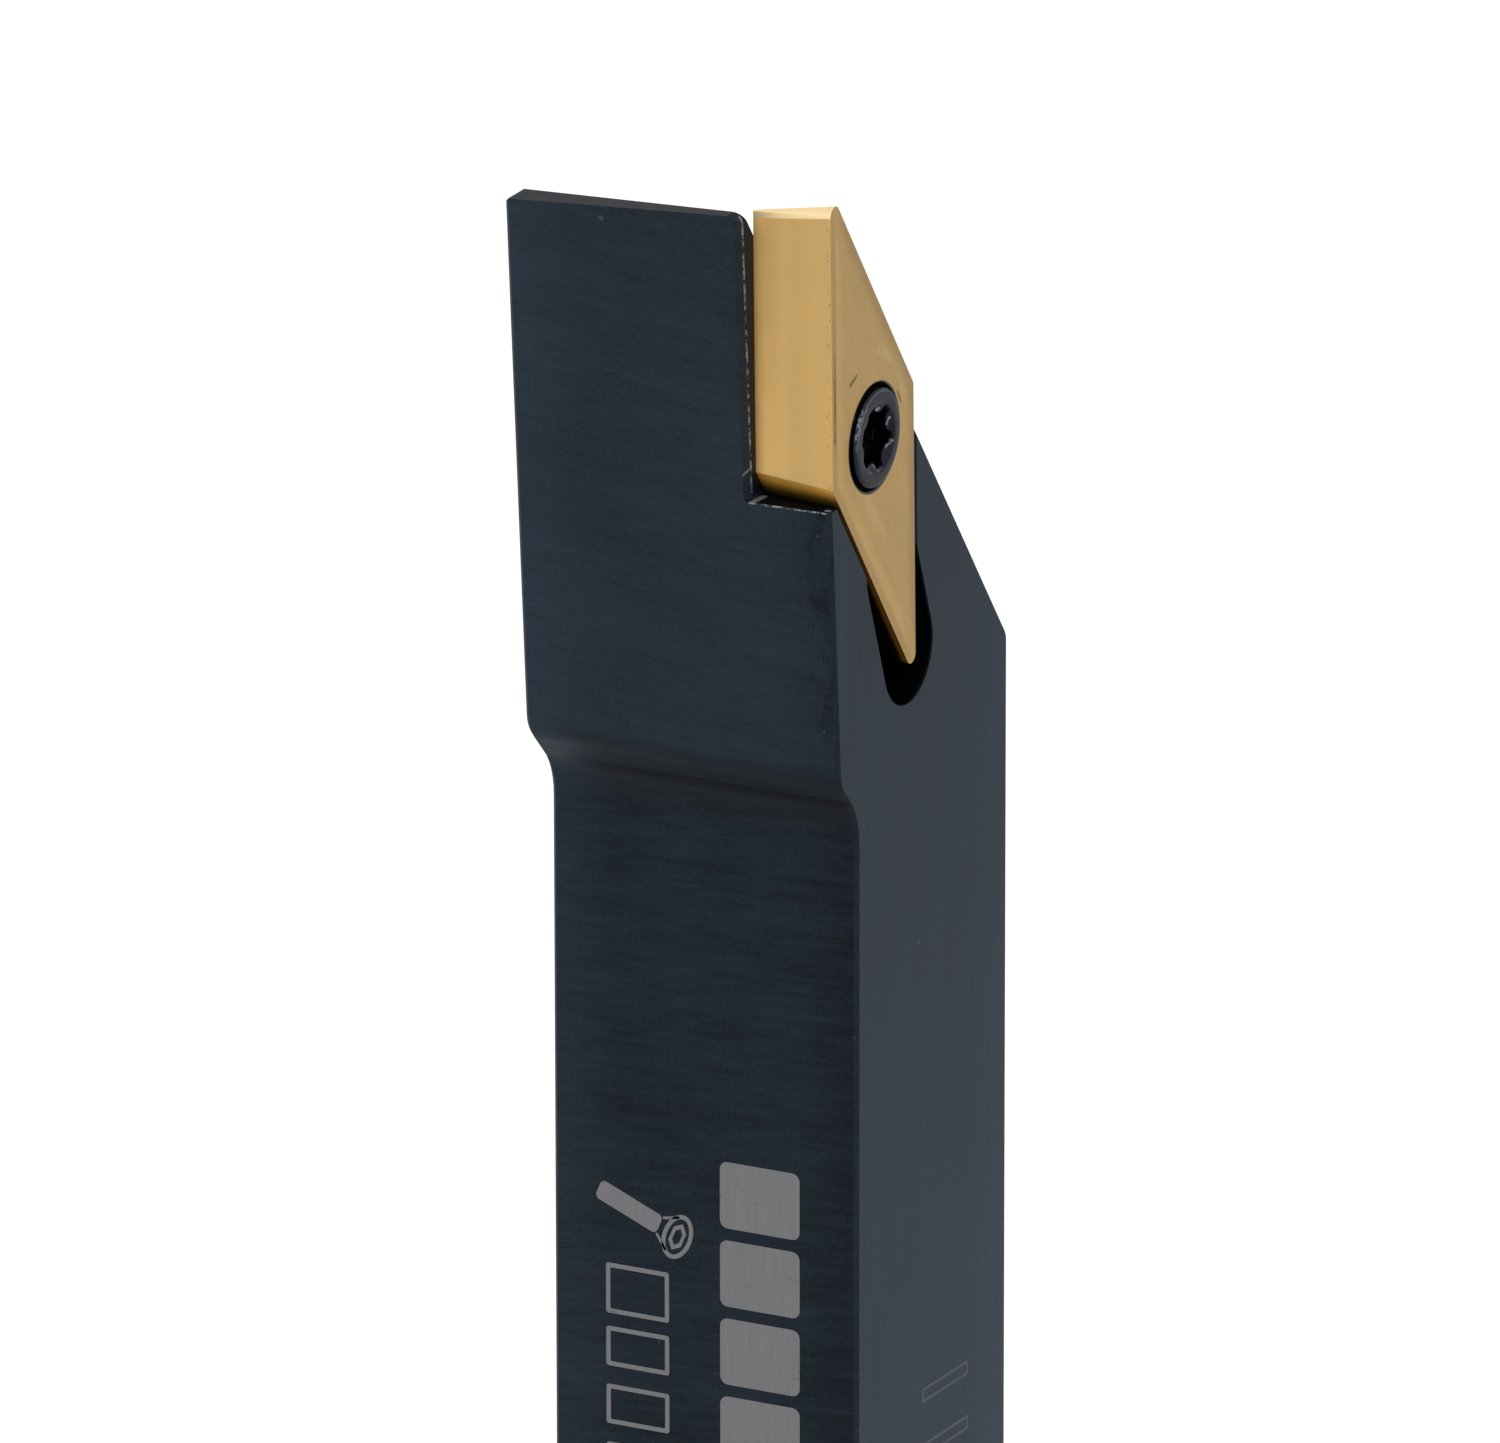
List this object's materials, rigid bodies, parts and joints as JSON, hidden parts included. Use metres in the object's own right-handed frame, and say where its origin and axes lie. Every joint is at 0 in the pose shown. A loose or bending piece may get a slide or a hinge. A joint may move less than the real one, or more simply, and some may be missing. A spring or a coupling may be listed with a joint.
{
  "type": "turning tool holder",
  "caption": "Square-shank turning tool holder: a steel bar with an offset head and a V pocket, where a countersunk screw clamps a rhombic cutting insert.",
  "frame": {"origin": "centre of the shank's end face", "axes": "+Z along the shank towards the cutting point, -Y out of the rake side, -X out of the cutting side"},
  "size_m": [0.0154, 0.0121, 0.0792],
  "materials": {
    "holder_steel": "black oxide, satin",
    "insert_coating": "gold nitride coating, satin",
    "screw_steel": "black oxide, satin"
  },
  "bodies": {
    "tool": {"holder": "holder_steel", "insert": "insert_coating"},
    "screw": {"insert_screw": "screw_steel"}
  },
  "joints": [
    {"name": "screw_travel", "type": "slide", "parent": "tool", "child": "screw", "axis": [0, -1, 0], "range_m": [0, 0.0036]}
  ]
}
